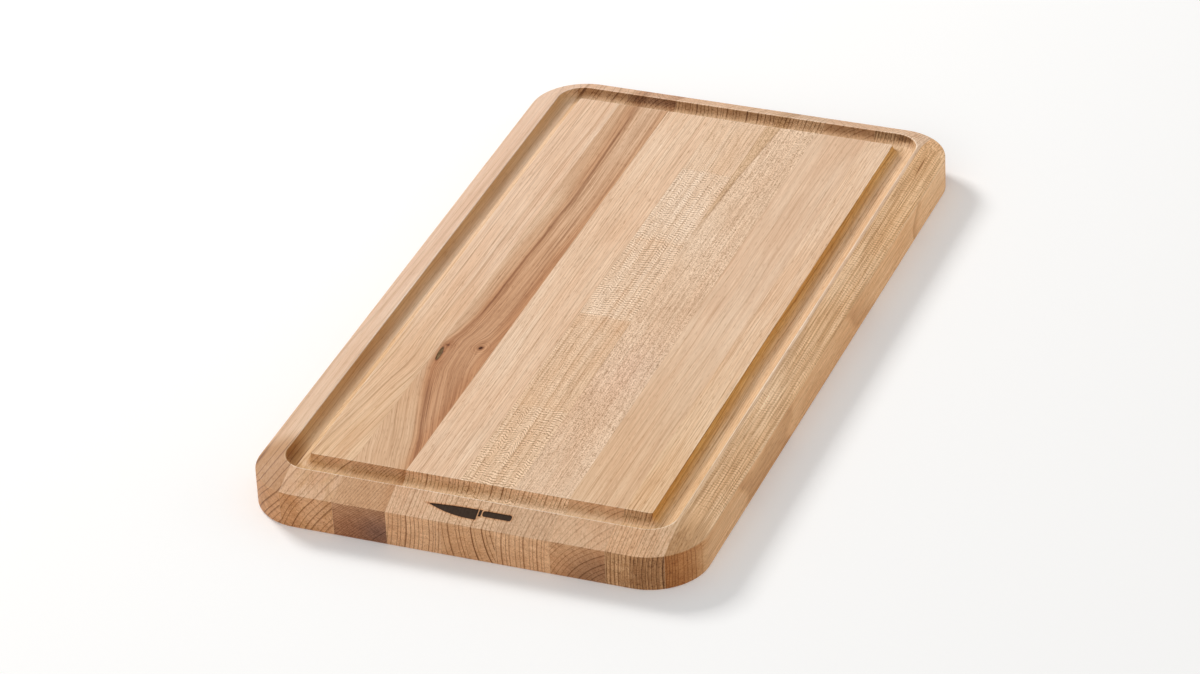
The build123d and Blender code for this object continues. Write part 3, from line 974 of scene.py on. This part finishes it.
MATERIALS = {
    "stave_1_left_edge": maple("maple_left_edge", 1.0, (0.690, 0.472, 0.332), (0.665, 0.433, 0.290),
                               (-34.0, -60.0), 3.8, tilt=(0.012, -0.01), ring_dark=0.20, fibre=0.60, streak=0.14,
                               lines=0.12, pore=0.18, end_ring=4.6, extra=edge_extra, warm=0.6),
    "stave_2_streaked": maple("maple_streaked", 2.0, (0.796, 0.549, 0.378), (0.757, 0.495, 0.325),
                              (-12.0, -50.0), 3.9, tilt=(0.010, -0.012), ring_dark=0.36, fibre=0.80, streak=0.18,
                              lines=0.26, pore=0.26, end_ring=3.4, extra=streaked_extra, path=streaked_path, warm=1.0),
    "stave_3_heartwood": maple("maple_heartwood", 3.0, (0.675, 0.433, 0.269), (0.639, 0.397, 0.241),
                               (-38.0, -4.0), 1.9, ring_dark=0.24, fibre=0.9, streak=0.16, warp=2.2, end=0.42,
                               lines=0.28, pore=0.36, end_ring=5.0, extra=heart_extra, path=heart_path),
    "stave_4_pale": maple("maple_pale", 4.0, (0.785, 0.541, 0.362), (0.757, 0.499, 0.324),
                          (-150.0, 22.0), 2.7, tilt=(0.006, 0.0), ring_dark=0.36, fibre=1.0, streak=0.15, lines=0.34,
                          pore=0.42, mark=True, end_ring=4.2, end=0.44),
    "stave_5_figured": maple("maple_figured", 5.0, (0.761, 0.520, 0.343), (0.729, 0.480, 0.304),
                             (70.0, 27.0), 3.4, tilt=(-0.006, 0.01), ring_dark=0.32, fibre=1.0, streak=0.15,
                             lines=0.28, pore=0.50, fleck=0.44, curl=(1.10, 2.7, figured_patches), mark=True,
                             extra=figured_extra, warm=0.4, end=0.54, end_ring=4.6),
    "stave_6_flecked": maple("maple_flecked", 6.0, (0.739, 0.507, 0.335), (0.710, 0.472, 0.306),
                             (170.0, 0.0), 2.9, tilt=(0.004, 0.0), ring_dark=0.22, fibre=1.0, streak=0.14,
                             lines=0.22, pore=0.46, fleck=0.72, mark=True, extra=flecked_extra, end_ring=6.0, end=0.44),
    "stave_7_tan": maple("maple_tan", 7.0, (0.763, 0.521, 0.347), (0.734, 0.481, 0.313),
                         (118.0, -34.0), 3.0, tilt=(0.006, -0.006), ring_dark=0.24, fibre=0.85, streak=0.15,
                         lines=0.22, pore=0.28, extra=tan_extra, warm=0.7, end_ring=3.6, end=0.52),
    "stave_8_straight": maple("maple_straight", 8.0, (0.785, 0.530, 0.347), (0.750, 0.483, 0.302),
                              (300.0, 10.0), 2.4, tilt=(0.004, 0.0), ring_dark=0.34, fibre=1.0, streak=0.18,
                              lines=0.34, pore=0.40, extra=straight_extra, warm=1.0, end_ring=4.6, end=0.44),
    "stave_9_right_edge": maple("maple_right_edge", 9.0, (0.776, 0.492, 0.276), (0.726, 0.438, 0.228),
                                (-120.0, 14.0), 1.7, tilt=(0.010, 0.0), ring_dark=0.32, fibre=1.1, streak=0.22,
                                lines=0.22, pore=0.36, warp=2.4, curl=(0.62, 2.7, curl_everywhere),
                                extra=right_extra, path_free=True, end=0.56, end_tint=(0.56, 0.36, 0.21), end_full=0.85, end_ring=3.4),
}
GLUE = glue_material()


# ------------------------------------------------------------------------------
# Pieces
# ------------------------------------------------------------------------------
blank = board_mesh()
cutters = [prism("cut_knife_%d" % i, o, -MARK_DEEP, 1.0) for i, o in enumerate(knife_outlines())]
cutters.append(sliver("cut_bark", -81.2, -102.5, THICK, 16.5, 2.7, 0.55, -0.10))
cutters.append(sliver("cut_knot", -58.3, -88.8, THICK, 2.6, 1.5, 0.7, 0.0, 12, 12))
blank = carve(blank, cutters)

for node, slot in STAVES:
    lo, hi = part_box(node)
    x0 = None if lo.x * 1000 < -HALF_W + 0.5 else lo.x
    x1 = None if hi.x * 1000 > HALF_W - 0.5 else hi.x
    me = slab(blank, x0, x1, "maple_" + node)
    set_normals(me)
    ob = bpy.data.objects.new("maple_" + node, me)
    bpy.context.scene.collection.objects.link(ob)
    me.materials.clear()
    me.materials.append(MATERIALS[node])
    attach(ob, "root")
    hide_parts(node)

for i in range(1, 9):
    node = "glue_line_%d" % i
    lo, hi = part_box(node)
    me = slab(blank, lo.x, hi.x, "cured_" + node)
    set_normals(me)
    ob = bpy.data.objects.new("cured_" + node, me)
    bpy.context.scene.collection.objects.link(ob)
    me.materials.clear()
    me.materials.append(GLUE)
    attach(ob, "root")
    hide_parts(node)

bpy.data.meshes.remove(blank)

# ------------------------------------------------------------------------------
# Floor, light and camera
# ------------------------------------------------------------------------------
scene = bpy.context.scene
scene.view_settings.view_transform = "Standard"

fm = bpy.data.meshes.new("studio_floor")
S = 6.0
fm.from_pydata([(-S, -S, -0.0001), (S, -S, -0.0001), (S, S, -0.0001), (-S, S, -0.0001)], [], [(0, 1, 2, 3)])
floor = bpy.data.objects.new("studio_floor", fm)
scene.collection.objects.link(floor)
fmat = bpy.data.materials.new("studio_floor")
fmat.use_nodes = True
fb = fmat.node_tree.nodes["Principled BSDF"]
fb.inputs["Base Color"].default_value = (0.93, 0.93, 0.93, 1)
fb.inputs["Roughness"].default_value = 0.9
fb.inputs["Specular IOR Level"].default_value = 0.1
fb.inputs["Emission Color"].default_value = (1.0, 1.0, 1.0, 1)
fl = fmat.node_tree
tc = fl.nodes.new("ShaderNodeTexCoord")
ln = fl.nodes.new("ShaderNodeVectorMath")
ln.operation = "LENGTH"
mr = fl.nodes.new("ShaderNodeMapRange")
mr.interpolation_type = "SMOOTHSTEP"
for k, v in (("From Min", 0.9), ("From Max", 4.2), ("To Min", 0.10), ("To Max", 0.46)):
    mr.inputs[k].default_value = v
fl.links.new(tc.outputs["Object"], ln.inputs[0])
fl.links.new(ln.outputs["Value"], mr.inputs["Value"])
fl.links.new(mr.outputs["Result"], fb.inputs["Emission Strength"])
fm.materials.append(fmat)

HORIZON = 0.98
world = bpy.data.worlds.new("studio")
world.use_nodes = True
world.node_tree.nodes["Background"].inputs["Color"].default_value = (1.0, 0.995, 0.985, 1)
bg = world.node_tree.nodes["Background"]
wt = world.node_tree
wc = wt.nodes.new("ShaderNodeTexCoord")
ws = wt.nodes.new("ShaderNodeSeparateXYZ")
wa = wt.nodes.new("ShaderNodeMath")
wa.operation = "ABSOLUTE"
wr = wt.nodes.new("ShaderNodeMapRange")
wr.interpolation_type = "SMOOTHSTEP"
for k, v in (("From Min", 0.03), ("From Max", 0.16), ("To Min", HORIZON), ("To Max", 0.465)):
    wr.inputs[k].default_value = v
wt.links.new(wc.outputs["Generated"], ws.inputs[0])
wt.links.new(ws.outputs["Z"], wa.inputs[0])
wt.links.new(wa.outputs[0], wr.inputs["Value"])
wt.links.new(wr.outputs["Result"], bg.inputs["Strength"])
scene.world = world


def area(name, loc, target, size, power, colour=(1, 1, 1)):
    d = bpy.data.lights.new(name, "AREA")
    d.shape = "RECTANGLE"
    d.size, d.size_y = size
    d.energy = power
    d.color = colour
    o = bpy.data.objects.new(name, d)
    o.location = loc
    o.rotation_euler = (Vector(target) - Vector(loc)).to_track_quat("-Z", "Y").to_euler()
    scene.collection.objects.link(o)
    return o


area("key", (-2.45, 1.35, 2.0), (0, 0, 0), (0.9, 0.9), 79.0, (1.0, 0.985, 0.96))
area("front_fill", (0.35, -2.5, 1.2), (0, 0, 0), (2.0, 1.2), 15.5)
area("side_fill", (2.4, 0.7, 0.9), (0, 0, 0), (2.0, 1.0), 5.0)

cam = bpy.data.cameras.new("camera")
cam.lens = 5249.2816 / 1200 * 36.0
cam.sensor_width = 36.0
cam.sensor_fit = "HORIZONTAL"
cam.clip_start, cam.clip_end = 0.1, 50.0
co = bpy.data.objects.new("camera", cam)
right = Vector((0.933034408, 0.357056843, -0.044240298))
down = Vector((0.154567311, -0.508833873, -0.846874864))
ahead = Vector((-0.324893427, 0.783325284, -0.529948828))
rot = Matrix((right, -down, -ahead)).transposed()
co.matrix_world = Matrix.Translation((1.1097915, -2.7040416, 1.8255746)) @ rot.to_4x4()
scene.collection.objects.link(co)
scene.camera = co
